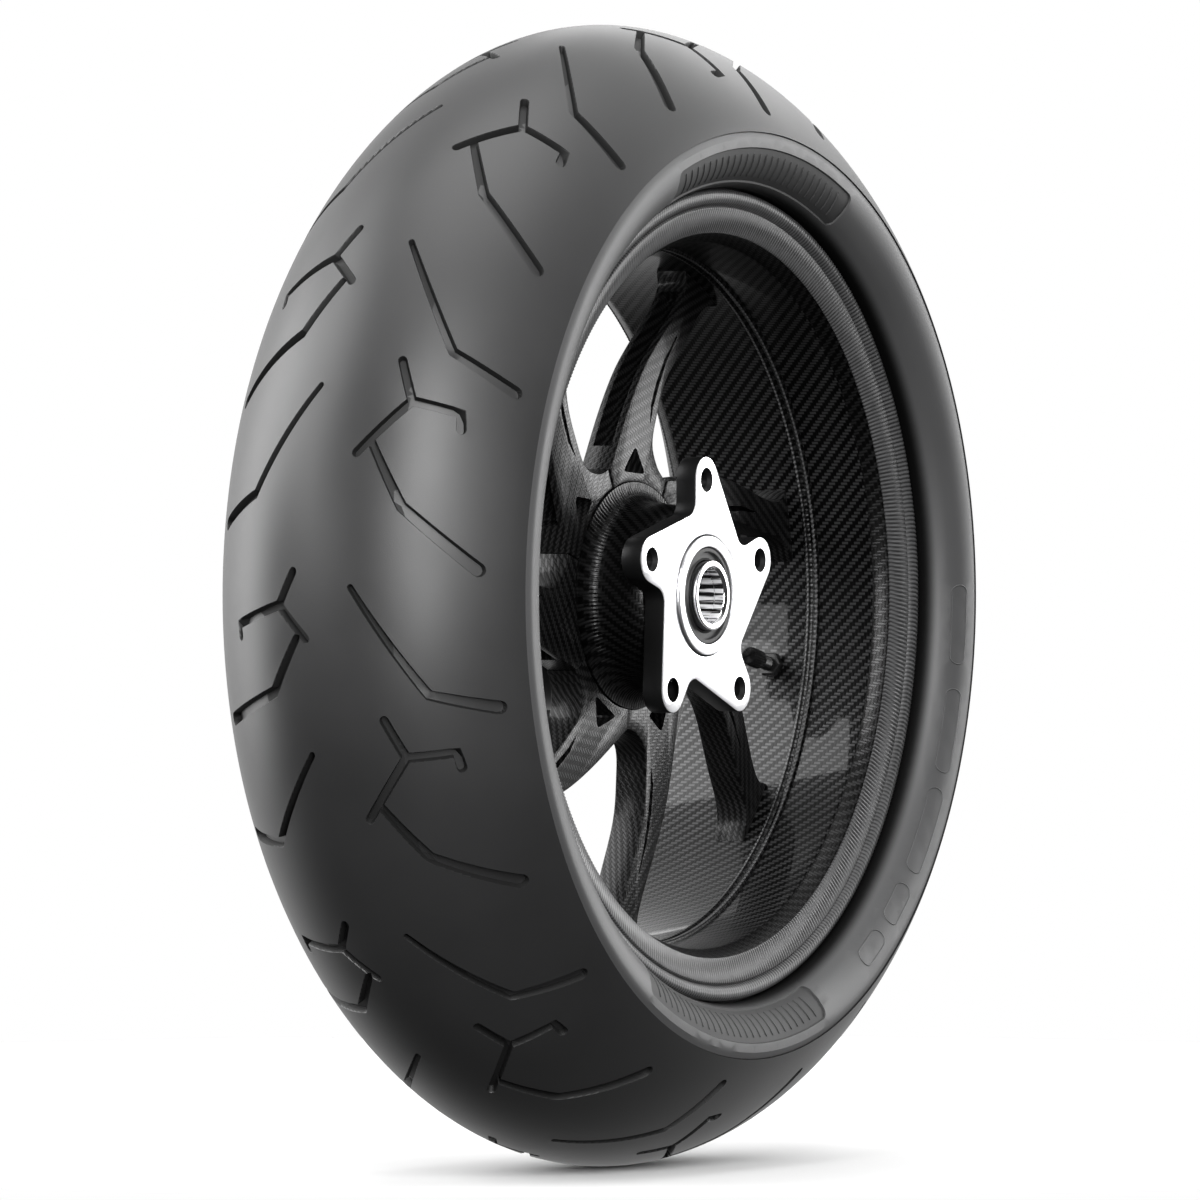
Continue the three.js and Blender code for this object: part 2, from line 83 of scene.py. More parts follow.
# ---- materials ----------------------------------------------------------------------------------
class Nodes:
    """A node material, with short calls for the nodes that it is made of."""

    def __init__(self, name, **numbers):
        self.material = bpy.data.materials.new(name)
        self.material.use_nodes = True
        self.tree = self.material.node_tree
        self.shader = self.tree.nodes["Principled BSDF"]
        for socket, value in numbers.items():
            self.shader.inputs[socket.replace("_", " ")].default_value = value

    def node(self, kind, **settings):
        made = self.tree.nodes.new(kind)
        for key, value in settings.items():
            setattr(made, key, value)
        return made

    def link(self, value, socket):
        if isinstance(value, bpy.types.NodeSocket):
            self.tree.links.new(value, socket)
        else:
            socket.default_value = value

    def math(self, operation, *values):
        made = self.node("ShaderNodeMath", operation=operation)
        for value, socket in zip(values, made.inputs):
            self.link(value, socket)
        return made.outputs[0]

    def place(self):
        """The point's own x, y and z in millimetres."""
        coords = self.node("ShaderNodeTexCoord").outputs["Object"]
        split = self.node("ShaderNodeSeparateXYZ")
        self.tree.links.new(coords, split.inputs[0])
        return [self.math("MULTIPLY", axis, 1 / MM) for axis in split.outputs]

    def around(self, radius):
        """Millimetres round the wheel at a radius, and the point's own y and radius."""
        x, y, z = self.place()
        turn = self.math("ARCTAN2", z, x)
        square = self.math("ADD", self.math("MULTIPLY", x, x), self.math("MULTIPLY", z, z))
        return self.math("MULTIPLY", turn, radius), y, self.math("SQRT", square)

    def noise(self, scale, detail=3, stretch=(1, 1, 1)):
        """Noise whose grains are about 1 / scale metres across."""
        coords = self.node("ShaderNodeTexCoord").outputs["Object"]
        mapping = self.node("ShaderNodeMapping")
        mapping.inputs["Scale"].default_value = stretch
        self.tree.links.new(coords, mapping.inputs[0])
        made = self.node("ShaderNodeTexNoise")
        made.inputs["Scale"].default_value = scale
        made.inputs["Detail"].default_value = detail
        self.tree.links.new(mapping.outputs[0], made.inputs["Vector"])
        return made.outputs[0]

    def between(self, factor, low, high):
        """A number that goes from low to high with a factor from 0 to 1."""
        return self.math("MULTIPLY_ADD", factor, high - low, low)

    def colour(self, factor, dark, light):
        mix = self.node("ShaderNodeMix", data_type="RGBA")
        self.link(factor, mix.inputs[0])
        mix.inputs[6].default_value = (*dark, 1)
        mix.inputs[7].default_value = (*light, 1)
        self.tree.links.new(mix.outputs[2], self.shader.inputs["Base Color"])

    def roughness(self, factor, low, high):
        self.link(self.between(factor, low, high), self.shader.inputs["Roughness"])

    def bump(self, height, depth_mm, strength=1.0):
        bump = self.node("ShaderNodeBump")
        bump.inputs["Strength"].default_value = strength
        bump.inputs["Distance"].default_value = depth_mm * MM
        self.link(height, bump.inputs["Height"])
        self.tree.links.new(bump.outputs[0], self.shader.inputs["Normal"])


def grey(value):
    return (value, value, value * 1.02)


def rubber(name, dark, light, smooth, rough, painted_shade_radii=None):
    """Moulded rubber: cloudy colour, fine grain, and a satin that comes and goes.

    The two radii of the painted shade are where it is deepest and where the rubber's own colour is back in
    full. It stands for the shade in the gap beside the rim lip, and the satin dims with it.
    """
    n = Nodes(name, Specular_IOR_Level=0.5)
    cloud = n.noise(14, 4)
    grain = n.noise(1500, 2)
    tone = n.math("MULTIPLY_ADD", grain, 0.35, n.math("MULTIPLY", cloud, 0.65))
    # Painted shade: towards the inner radius the colour fades to near black and the satin dims.
    if painted_shade_radii:
        share = n.node("ShaderNodeMapRange", interpolation_type="SMOOTHSTEP")
        for value, socket in zip((n.around(1)[2], *painted_shade_radii, 0, 1), share.inputs):
            n.link(value, socket)
        tone = n.math("MULTIPLY", share.outputs[0], n.between(tone, dark / light, 1))
        dark = 0.002
        n.link(n.between(share.outputs[0], 0.1, 0.5), n.shader.inputs["Specular IOR Level"])
    n.colour(tone, grey(dark), grey(light))
    n.roughness(cloud, smooth, rough)
    n.bump(grain, 0.03)
    return n.material


def twill(n, u, v):
    """A two-by-two twill weave: which tow is on top, and how its rounded back rises."""
    across, along = n.math("DIVIDE", u, TOW), n.math("DIVIDE", v, TOW)
    step = n.math("ADD", n.math("FLOOR", across), n.math("FLOOR", along))
    over = n.math("LESS_THAN", n.math("FLOORED_MODULO", step, 4), 2)
    arch = [n.math("SINE", n.math("MULTIPLY", n.math("FRACT", w), math.pi)) for w in (across, along)]
    under = n.math("MULTIPLY", n.math("SUBTRACT", 1, over), arch[1])
    return over, n.math("MULTIPLY_ADD", over, arch[0], under)


def carbon(name, make_uv, dark, light, coat_roughness, coat):
    """Woven carbon fibre under clear lacquer. The twill is real; the tows on top are painted lighter,
    brightest along their rounded backs: a painted sheen.
    """
    n = Nodes(name, Metallic=0.6, Specular_IOR_Level=0.25, Coat_IOR=1.5, Coat_Weight=coat,
              Coat_Roughness=coat_roughness)
    u, v = make_uv(n)
    over, back = twill(n, u, v)
    uneven = n.noise(60, 2)
    # Painted sheen: only the tows on top are lightened, most along the crests of their backs.
    tone = n.math("MULTIPLY", n.math("MULTIPLY", over, back), n.between(uneven, 0.55, 1.2))
    n.colour(tone, grey(dark), grey(light))
    n.roughness(back, 0.5, 0.32)
    n.bump(back, 0.12, 0.6)
    return n.material


def round_weave(radius):
    def coords(n):
        u, y, _ = n.around(radius)
        return u, y
    return coords


def flat_weave(n):
    """Coordinates across a part's face that also advance with depth, so that its sides are woven."""
    x, y, z = n.place()
    return n.math("ADD", x, y), n.math("ADD", z, y)


def braid(name, radius, pitch, dark, light):
    """Carbon tape laid round the rim: slanting tows side by side."""
    n = Nodes(name, Specular_IOR_Level=0.3, Coat_Weight=0.1, Coat_Roughness=0.3)
    u, y, r = n.around(radius)
    slant = n.math("MULTIPLY_ADD", n.math("ADD", r, y), 0.35, u)
    wave = n.math("SINE", n.math("MULTIPLY", slant, 2 * math.pi / pitch))
    stripe = n.math("MULTIPLY_ADD", wave, 0.45, 0.55)
    n.colour(n.math("MULTIPLY", stripe, n.between(n.noise(150, 2), 0.6, 1.3)), grey(dark), grey(light))
    n.roughness(stripe, 0.55, 0.4)
    n.bump(stripe, 0.15, 0.7)
    return n.material


def turned_metal(name, dark, light, smooth, rough, ring_mm=0.5):
    """Metal off a lathe: fine rings, faint stains and small scratches."""
    n = Nodes(name, Metallic=1.0)
    _, y, r = n.around(1)
    rings = n.math("SINE", n.math("MULTIPLY", n.math("ADD", r, y), 2 * math.pi / ring_mm))
    stain, scratch = n.noise(40, 4), n.noise(700, 2, (1, 1, 0.15))
    n.colour(n.math("MULTIPLY_ADD", scratch, 0.3, n.math("MULTIPLY", stain, 0.7)), grey(dark), grey(light))
    n.roughness(stain, smooth, rough)
    n.bump(n.math("MULTIPLY_ADD", rings, 0.3, scratch), 0.01, 0.5)
    return n.material


def cast_metal(name, dark, light, metallic, smooth, rough):
    """Blasted or anodised metal: an even fine grain with slight stains."""
    n = Nodes(name, Metallic=metallic)
    stain, grain = n.noise(30, 4), n.noise(2200, 2)
    n.colour(n.math("MULTIPLY_ADD", grain, 0.4, n.math("MULTIPLY", stain, 0.6)), grey(dark), grey(light))
    n.roughness(stain, smooth, rough)
    n.bump(grain, 0.02, 0.6)
    return n.material


def painted_reflection_metal(name):
    """The inside of the axle bore: painted reflections, bright and dark streaks that run along it."""
    n = Nodes(name, Metallic=0.3)
    reflection_streak = n.noise(420, 3, (1, 0.05, 1))
    sharp = n.math("MULTIPLY_ADD", reflection_streak, 9, -4.2)
    sharp.node.use_clamp = True
    # Painted reflection: the streaks run from near black to near white.
    n.colour(sharp, grey(0.01), grey(0.95))
    n.roughness(reflection_streak, 0.2, 0.35)
    n.bump(reflection_streak, 0.02)
    return n.material


def cord_ply(name):
    """Rubberised cords, side by side along the tyre's radius."""
    n = Nodes(name)
    u, _, _ = n.around(REF_R)
    cords = n.between(n.math("SINE", n.math("MULTIPLY", u, math.pi)), 0.5, 1.0)
    n.colour(cords, (0.1, 0.075, 0.045), (0.3, 0.22, 0.12))
    n.roughness(n.noise(300), 0.7, 0.9)
    n.bump(cords, 0.3)
    return n.material


TREAD_RUBBER = rubber("tread_rubber", 0.014, 0.028, 0.38, 0.48)
# The sidewall's inner edge, beside the rim lip, carries painted shade.
SIDE_RUBBER = rubber("sidewall_rubber", 0.048, 0.068, 0.46, 0.56, (232.5, 236))
# Much darker than the tread: painted shade in the grooves.
GROOVE_SHADE_RUBBER = rubber("groove_painted_shade", 0.003, 0.006, 0.6, 0.75)
PANEL_RUBBER = rubber("panel_rubber", 0.018, 0.026, 0.6, 0.72)
INNER_RUBBER = rubber("inner_rubber", 0.015, 0.026, 0.75, 0.9)
SEAL_RUBBER = rubber("seal_rubber", 0.012, 0.02, 0.5, 0.62)
BARREL_CARBON = carbon("barrel_carbon", round_weave(BARREL_R), 0.001, 0.062, 0.04, 0.3)
SPOKE_CARBON = carbon("spoke_carbon", flat_weave, 0.004, 0.032, 0.15, 0.12)
HUB_CARBON = carbon("hub_carbon", round_weave(60), 0.001, 0.015, 0.15, 0.1)
RIM_BRAID = braid("rim_braid", RIM_R, 2.6, 0.004, 0.095)
RIDGE_BRAID = braid("ridge_braid", BARREL_R, 3.0, 0.004, 0.08)
EDGE_CARBON = carbon("edge_carbon", round_weave(RIM_R), 0.001, 0.02, 0.2, 0.06)
BRIGHT = turned_metal("bright_aluminium", 0.84, 0.92, 0.26, 0.34)
MACHINED = turned_metal("machined_aluminium", 0.7, 0.85, 0.06, 0.14, 0.3)
STEEL = turned_metal("bearing_steel", 0.45, 0.58, 0.15, 0.26, 0.3)
BORE_METAL = painted_reflection_metal("bore_painted_reflections")
DARK_STEEL = cast_metal("dark_steel", 0.01, 0.03, 0.8, 0.35, 0.5)
DARK_ALLOY = cast_metal("dark_alloy", 0.06, 0.1, 1.0, 0.36, 0.5)
BLACK_ALLOY = cast_metal("black_alloy", 0.004, 0.01, 0.1, 0.2, 0.3)
CORDS = cord_ply("cord_ply")


# ---- outlines -----------------------------------------------------------------------------------
def polar(radius, degrees):
    return radius * math.cos(math.radians(degrees)), radius * math.sin(math.radians(degrees))


def arc(radius, start, end, steps, centre=(0, 0)):
    """Points on an arc, both ends included."""
    turns = np.linspace(start, end, steps + 1)
    return [tuple(np.add(polar(radius, turn), centre)) for turn in turns]


def rounded(points, radius, steps=3):
    """A closed outline with each corner turned into a short curve."""
    points = [Vector(p) for p in points]
    result = []
    for before, corner, after in zip(points[-1:] + points[:-1], points, points[1:] + points[:1]):
        start, end = (
            corner + (other - corner) * min(radius / (other - corner).length, 0.48)
            for other in (before, after)
        )
        for t in np.linspace(0, 1, steps + 1):
            result.append(tuple(start * (1 - t) ** 2 + corner * 2 * t * (1 - t) + end * t**2))
    return result


def smooth_line(points, steps):
    """An open curve through the points, with the same number of steps between each two."""
    p = [np.array(q, float) for q in points]
    p = [2 * p[0] - p[1], *p, 2 * p[-1] - p[-2]]
    line = [p[1]]
    for a, b, c, d in zip(p, p[1:], p[2:], p[3:]):
        for t in np.linspace(0, 1, steps + 1)[1:]:
            line.append(0.5 * (2 * b + (c - a) * t + (2 * a - 5 * b + 4 * c - d) * t**2
                               + (3 * b - a - 3 * c + d) * t**3))
    return line


def mirrored(outline):
    return [(r, -y) for r, y in outline]


# ---- pieces -------------------------------------------------------------------------------------
def add_piece(name, mesh, material, body="wheel", nodes=(), crease=35, turn=None):
    """Puts a mesh in the scene as a piece that rides on a CAD body."""
    if material:
        mesh.materials.clear()
        mesh.materials.append(material)
    mesh.shade_smooth()
    mesh.set_sharp_from_angle(angle=math.radians(crease))
    piece = bpy.data.objects.new(name, mesh)
    bpy.context.scene.collection.objects.link(piece)
    if turn:
        piece.matrix_world = turn
    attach(piece, body)
    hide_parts(*nodes)


def paint(mesh, materials, second):
    """Gives a mesh two materials: the second goes on the faces that are marked."""
    mesh.materials.clear()
    for material in materials:
        mesh.materials.append(material)
    mesh.polygons.foreach_set("material_index", np.asarray(second, np.int32))


def clean(mesh, weld):
    """Joins points closer than a distance in millimetres, if it isn't 0, and turns normals outward."""
    shape = bmesh.new()
    shape.from_mesh(mesh)
    if weld:
        bmesh.ops.remove_doubles(shape, verts=shape.verts, dist=weld * MM)
    bmesh.ops.recalc_face_normals(shape, faces=shape.faces)
    shape.to_mesh(mesh)
    shape.free()


def mesh_of(verts_mm, faces, weld=0.0):
    """A mesh with outward normals from points in millimetres."""
    mesh = bpy.data.meshes.new("piece")
    mesh.from_pydata((np.asarray(verts_mm) * MM).tolist(), [], faces)
    clean(mesh, weld)
    return mesh


def turned(outline, segments, ribs=0, rib_height=0.0, ribbed=lambda r, y: 1.0, slant=0.0):
    """A ring turned from a closed outline of (radius, y), with optional ribs across part of it.

    The slant is how far, in turns of the rib wave, the ribs drift with each millimetre of radius.
    """
    line = np.array(outline, float)
    ahead, behind = np.roll(line, -1, 0), np.roll(line, 1, 0)
    along = (ahead - behind) / np.maximum(np.hypot(*(ahead - behind).T), 1e-6)[:, None]
    share = np.array([ribbed(r, y) for r, y in line])
    turn = np.linspace(0, 2 * math.pi, segments, endpoint=False)[:, None]
    lift = rib_height * share * np.sin(turn * ribs + 2 * math.pi * slant * line[:, 0])
    r = line[:, 0] + lift * along[:, 1]
    y = line[:, 1] - lift * along[:, 0]
    verts = np.stack([r * np.cos(turn), y + 0 * turn, r * np.sin(turn)], -1).reshape(-1, 3)
    n = len(line)
    corners = np.arange(segments * n).reshape(segments, n)
    ring = np.stack([corners, np.roll(corners, -1, 1),
                     np.roll(np.roll(corners, -1, 0), -1, 1), np.roll(corners, -1, 0)], -1)
    return verts, ring.reshape(-1, 4).tolist()


def ring_mesh(outline, segments=128, **ribs):
    return mesh_of(*turned(outline, segments, **ribs))


def plate(loops, y0, y1, bevel):
    """A flat plate between two heights from its outline and holes, with rounded edges."""
    curve = bpy.data.curves.new("plate", "CURVE")
    curve.dimensions, curve.fill_mode = "2D", "BOTH"
    curve.bevel_depth, curve.bevel_resolution, curve.offset = bevel * MM, 1, -bevel * MM
    curve.extrude = ((y1 - y0) / 2 - bevel) * MM
    for loop in loops:
        spline = curve.splines.new("POLY")
        spline.points.add(len(loop) - 1)
        spline.use_cyclic_u = True
        for point, (x, z) in zip(spline.points, loop):
            point.co = (x * MM, z * MM, 0, 1)
    mesh = settle(bpy.data.objects.new("plate", curve))
    upright = Matrix.Rotation(math.pi / 2, 4, "X")
    mesh.transform(Matrix.Translation((0, (y0 + y1) / 2 * MM, 0)) @ upright)
    clean(mesh, 0.01)
    return mesh


def settle(holder):
    """The mesh of an object with its modifiers applied. The object is removed."""
    bpy.context.scene.collection.objects.link(holder)
    bpy.context.view_layer.update()
    graph = bpy.context.evaluated_depsgraph_get()
    mesh = bpy.data.meshes.new_from_object(holder.evaluated_get(graph))
    bpy.data.objects.remove(holder)
    return mesh


def combine(mesh, others, operation):
    """The mesh with other closed meshes cut from it or joined to it."""
    holder = bpy.data.objects.new("base", mesh)
    tools = []
    for other in others:
        tool = bpy.data.objects.new("tool", other)
        bpy.context.scene.collection.objects.link(tool)
        tools.append(tool)
        modifier = holder.modifiers.new("combine", "BOOLEAN")
        modifier.operation, modifier.solver, modifier.object = operation, "EXACT", tool
    result = settle(holder)
    for tool in tools:
        bpy.data.objects.remove(tool)
    return result


def prism(outline, y0, y1):
    """A plain closed cutter from an outline."""
    n = len(outline)
    verts = [(x, y, z) for y in (y0, y1) for x, z in outline]
    sides = [(i, (i + 1) % n, n + (i + 1) % n, n + i) for i in range(n)]
    return mesh_of(verts, [*sides, list(range(n)), list(range(n, 2 * n))])


def spun(outline, centre, segments=24):
    """A solid turned from an outline that starts and ends on its own axis, at a point of the face."""
    verts, faces = turned([p if p[0] else (1e-3, p[1]) for p in outline], segments)
    return mesh_of(verts + (centre[0], 0, centre[1]), faces)


# ---- marks pressed into or standing on a surface of revolution ----------------------------------
class Skin:
    """A surface of revolution unrolled to u, round it, and v, along its outline."""

    def __init__(self, outline):
        self.r, self.y = np.array(outline).T
        steps = np.hypot(np.diff(self.r), np.diff(self.y))
        self.v = np.concatenate([[0], np.cumsum(steps)])
        self.out_r, self.out_y = np.gradient(self.y, self.v), -np.gradient(self.r, self.v)

    def at(self, points, lift):
        """Where points of the skin lie, each lifted off it by its own distance."""
        u, v = points.T
        r = np.interp(v, self.v, self.r) + lift * np.interp(v, self.v, self.out_r)
        y = np.interp(v, self.v, self.y) + lift * np.interp(v, self.v, self.out_y)
        return np.stack([r * np.cos(u / REF_R), y, r * np.sin(u / REF_R)], -1)


def unrolled(degrees):
    """The u of an angle round the wheel."""
    return math.radians(degrees) * REF_R


class Stroke:
    """A mark along a path of (u, v, half width) points."""

    def __init__(self, path, closed=False):
        self.path = [tuple(map(float, p)) for p in (path if closed else finer(path, 5))]
        self.closed = closed

    def inside(self, points):
        """How far inside the mark's edge each point lies."""
        ends = self.path[1:] + (self.path[:1] if self.closed else [])
        best = np.full(len(points), -1e9)
        for (u0, v0, w0), (u1, v1, w1) in zip(self.path, ends):
            d = np.array((u1 - u0, v1 - v0))
            rel = points - (u0, v0)
            t = np.clip(rel @ d / (d @ d), 0, 1)
            best = np.maximum(best, w0 + (w1 - w0) * t - np.hypot(*(rel - t[:, None] * d).T))
        return best

    def loops(self, inset):
        """The loops of points that run inside the mark's edge by an inset."""
        p = np.array([q[:2] for q in self.path])
        w = np.array([q[2] for q in self.path]) - inset
        if w.max() < 0.15:
            return []
        w = np.maximum(w, 0.1)
        if self.closed:
            d = unit(np.roll(p, -1, 0) - p)
            before = np.roll(d, 1, 0)
        else:
            d = unit(np.diff(p, axis=0))
            before, d = np.vstack([d[:1], d]), np.vstack([d, d[-1:]])
        mean = unit(before + d)
        reach = (w / np.maximum((mean * d).sum(1), 0.4))[:, None]
        side = np.stack([-mean[:, 1], mean[:, 0]], -1) * reach
        if self.closed:
            return [p + side, p - side]
        ends = [half_turn(p[-1], d[-1], w[-1]), half_turn(p[0], -d[0], w[0])]
        return [np.vstack([(p - side)[1:-1], ends[0], (p + side)[1:-1][::-1], ends[1]])]


class Panel:
    """A rounded rectangle of (u, v) centre, half sizes and corner radius."""

    def __init__(self, centre, half, corner):
        self.centre, self.half, self.corner = np.array(centre), np.array(half), corner

    def inside(self, points):
        q = np.abs(points - self.centre) - (self.half - self.corner)
        return self.corner - np.hypot(*np.maximum(q, 0).T) - np.minimum(q.max(1), 0)

    def loops(self, inset):
        r = max(self.corner - inset, 0.2)
        flat = self.half - inset - r
        loop = []
        for quarter, (a, b) in enumerate([(1, 1), (-1, 1), (-1, -1), (1, -1)]):
            corner = self.centre + flat * (a, b)
            loop += arc(r, 90 * quarter, 90 * quarter + 90, 5, corner)
        return [np.array(fill_in(loop, 8))]


def finer(path, longest):
    """The open path with extra points, so that a mark follows the curve of its surface."""
    result = [path[0]]
    for a, b in zip(path, path[1:]):
        count = max(1, math.ceil(math.dist(a[:2], b[:2]) / longest))
        result += [tuple(np.add(a, np.subtract(b, a) * i / count)) for i in range(1, count + 1)]
    return result


def unit(rows):
    """The rows as directions of length 1."""
    return rows / np.maximum(np.hypot(*rows.T), 1e-9)[:, None]


def half_turn(centre, direction, radius, steps=6):
    """Points round the end of a stroke, from its right side to its left."""
    start = math.degrees(math.atan2(direction[1], direction[0])) - 90
    return np.array(arc(radius, start, start + 180, steps, centre))


def fill_in(loop, longest):
    """The closed loop with extra points on its long edges."""
    result = []
    for a, b in zip(loop, loop[1:] + loop[:1]):
        count = max(1, math.ceil(math.dist(a, b) / longest))
        result += [tuple(np.add(a, np.subtract(b, a) * i / count)) for i in range(count)]
    return result


EDGE_SLACK = 0.14  # a point this little inside a mark's edge still belongs to the level surface


def grid(skin, u0, u1, columns, rows):
    """The border of a piece of a skin as a loop of points, and an even grid of points inside it."""
    us, vs = np.linspace(u0, u1, columns + 1), np.linspace(0, skin.v[-1], rows + 1)
    border = ([(u, vs[0]) for u in us] + [(us[-1], v) for v in vs[1:]]
              + [(u, vs[-1]) for u in us[-2::-1]] + [(us[0], v) for v in vs[-2:0:-1]])
    return np.array(border), np.array([(u, v) for u in us[1:-1] for v in vs[1:-1]])


def relief(skin, u0, u1, columns, rows, groups):
    """Points and triangles of a piece of a skin. A group is its marks and its (inset, lift) steps."""
    border, inner = grid(skin, u0, u1, columns, rows)
    marks = [(mark, steps) for group, steps in groups for mark in group]
    clear = np.ones(len(inner), bool)
    for mark, steps in marks:
        depth = mark.inside(inner)
        clear &= (depth < -0.8) | (depth > steps[-1][0] + 0.8)
    loops = [border]
    loops += [loop for mark, steps in marks for inset, _ in steps for loop in mark.loops(inset)]
    points, edges = [], []
    for loop in loops:
        first = len(points)
        points += [Vector(p) for p in loop]
        edges += [(first + i, first + (i + 1) % len(loop)) for i in range(len(loop))]
    points += [Vector(p) for p in inner[clear]]
    flat, _, faces = delaunay_2d_cdt(points, edges, [], 0, 1e-4)[:3]
    flat = np.array([tuple(p) for p in flat])
    lift = np.zeros(len(flat))
    for group, steps in groups:
        if group:
            depth = np.max([mark.inside(flat) for mark in group], 0)
            level_until = [max(inset, EDGE_SLACK) if height == 0 else inset for inset, height in steps]
            lift += np.interp(depth, level_until, [height for _, height in steps])
    return skin.at(flat, lift), faces


def merge(parts):
    """One list of points and faces from several."""
    verts, faces = [], []
    for points, polygons in parts:
        base = sum(len(v) for v in verts)
        verts.append(points)
        faces += [[base + i for i in polygon] for polygon in polygons]
    return np.vstack(verts), faces


def spin_copies(points, faces, count):
    """The same piece of skin all the way round."""
    parts = []
    for k in range(count):
        c, s = math.cos(2 * math.pi * k / count), math.sin(2 * math.pi * k / count)
        x, y, z = points.T
        parts.append((np.stack([x * c - z * s, y, x * s + z * c], -1), faces))
    return parts


def open_ring(outline, segments):
    """The surface turned from an open outline."""
    verts, faces = turned(outline, segments)
    n = len(outline)
    return verts, [f for f in faces if max(i % n for i in f) - min(i % n for i in f) == 1]


# ---- tyre ---------------------------------------------------------------------------------------
# The V and Y grooves of each half: where they start in degrees, and their strokes as points of
# (degrees from the start, distance from the middle, half width).
NEAR_GROOVES = [
    (107.2, [[(0, 22.5, 1.8), (11.0, 58.5, 2.9), (13.4, 86.5, 4.1)]]),
    (124.3, [[(-4, 36.5, 2.6), (0, 45, 2.8), (0.3, 67.5, 2.8), (2, 68.5, 3.0)],
             [(0, 45, 2.8), (5.8, 21, 2.6)],
             [(4.7, 28.5, 2.4), (10.8, 46.5, 3.2), (16.9, 80.6, 4.2)]]),
]
FAR_GROOVES = [
    (123.4, [[(0, 7, 1.8), (10.3, 48, 2.9), (12.5, 84, 4.1)]]),
    (144.9, [[(-3.2, 13, 2.6), (0, 23, 2.8), (2, 61, 2.8), (3.2, 60, 3.0)],
             [(0, 23, 2.8), (3.2, 4.8, 2.6)],
             [(3.2, 11, 2.4), (8.5, 30, 3.2), (13, 82, 4.0)]]),
]
NEAR_SEAM, FAR_SEAM = 106.5, 123.0  # straight cuts between pitches, clear of every groove
GROOVE_STEPS = [(0, 0), (0.35, -0.9), (0.8, -4.4)]


def crown_line(depth, t0, t1, count):
    """Points on the crown's curve, or on one a depth below it."""
    t = np.linspace(t0, t1, count)
    r = SHOULDER_R + (CROWN_R - depth - SHOULDER_R) * np.abs(np.cos(t)) ** CROWN_POWER
    return np.stack([r, (TREAD_HALF - depth) * np.sin(t)], -1)


def tread_half(side, start_t, end_t, seam, grooves):
    """One pitch of one half of the tread, repeated round the tyre."""
    skin = Skin(crown_line(0, start_t, end_t, 200))
    v_of = lambda lateral: np.interp(side * lateral, skin.y, skin.v)
    marks = [Stroke([(unrolled(start + a), v_of(y), w) for a, y, w in path])
             for start, paths in grooves for path in paths]
    pitch = 360 / PITCHES
    points, faces = relief(skin, unrolled(seam), unrolled(seam + pitch), round(pitch / COLUMN), 22,
                           [(marks, GROOVE_STEPS)])
    return spin_copies(points, faces, PITCHES)


def make_tread():
    middle = math.asin(TREAD_SPLIT / TREAD_HALF)
    edge = math.pi / 2
    parts = tread_half(-1, -edge, middle, NEAR_SEAM, NEAR_GROOVES)
    parts += tread_half(1, middle, edge, FAR_SEAM, FAR_GROOVES)
    back = [*crown_line(0, edge, edge, 1), *crown_line(TREAD_T, edge, -edge, 17),
            *crown_line(0, -edge, -edge, 1)]
    parts.append(open_ring(back, round(360 / COLUMN)))
    mesh = mesh_of(*merge(parts), weld=0.004)
    # The groove faces are painted darker: painted shade.
    paint(mesh, [TREAD_RUBBER, GROOVE_SHADE_RUBBER], in_grooves(mesh))
    add_piece("tread", mesh, None, nodes=["tread_rubber"], crease=30)


def in_grooves(mesh):
    """Which faces lie below the crown, by less than the tread's own thickness: the groove faces, which
    take painted shade.
    """
    centres = np.array([tuple(f.center) for f in mesh.polygons]) / MM
    r, across = np.hypot(centres[:, 0], centres[:, 2]), np.abs(centres[:, 1]) / TREAD_HALF
    crown = SHOULDER_R + (CROWN_R - SHOULDER_R) * np.maximum(1 - across**2, 0) ** (CROWN_POWER / 2)
    return (crown - r > 0.4) & (crown - r < 5) & (across < 0.97)


SIDE_LINE = [(232.5, -72.2), (232.5, -78.7), (234.6, -84.5), (238.3, -89.9), (242.5, -93.4),
             (247.3, -96.2), (252.5, -97.8), (257.3, -98.4), (260.6, -98.2)]
SIDE_STEP = [(261.0, -97.5), (262.4, -97.4), (263.2, -96.6)]
PANELS = [(64.8, 111.8), (-120, -72.2)]
PANEL_R = (235.2, 254.6)
PANEL_RIBS = 26
CAPSULES = [(-9.5, 1.4), (-25, -13), (-41, -27.5), (-50.5, -43.5), (-59.5, -53)]
CAPSULE_R, CAPSULE_HALF, CAPSULE_LINE = 246.2, 5.6, 0.55
SIDE_SEAM = 180  # clear of every mark


def capsule_marks(skin):
    """Thin raised outlines with round ends, on both halves of the wheel."""
    v = np.interp(CAPSULE_R, skin.r, skin.v)
    marks = []
    for low, high in CAPSULES:
        a, b = unrolled(low) + CAPSULE_HALF, unrolled(high) - CAPSULE_HALF
        loop = arc(CAPSULE_HALF, -90, 90, 8, (b, v)) + arc(CAPSULE_HALF, 90, 270, 8, (a, v))
        marks.append(Stroke([(*p, CAPSULE_LINE) for p in fill_in(loop, 8)], closed=True))
    return marks


def panel_marks(skin):
    """Sunk panels, and the plain slanting ribs that fill them."""
    v0, v1 = (np.interp(r, skin.r, skin.v) for r in PANEL_R)
    panels, ribs = [], []
    for low, high in PANELS:
        u0, u1 = unrolled(low), unrolled(high)
        panels.append(Panel(((u0 + u1) / 2, (v0 + v1) / 2), ((u1 - u0) / 2, (v1 - v0) / 2), 5))
        for u in np.linspace(u0 + 14, u1 - 14, PANEL_RIBS):
            ribs.append(Stroke([(u - 2.2, v0 + 5, 0.7), (u + 2.2, v1 - 4.5, 0.9)]))
    return panels, ribs


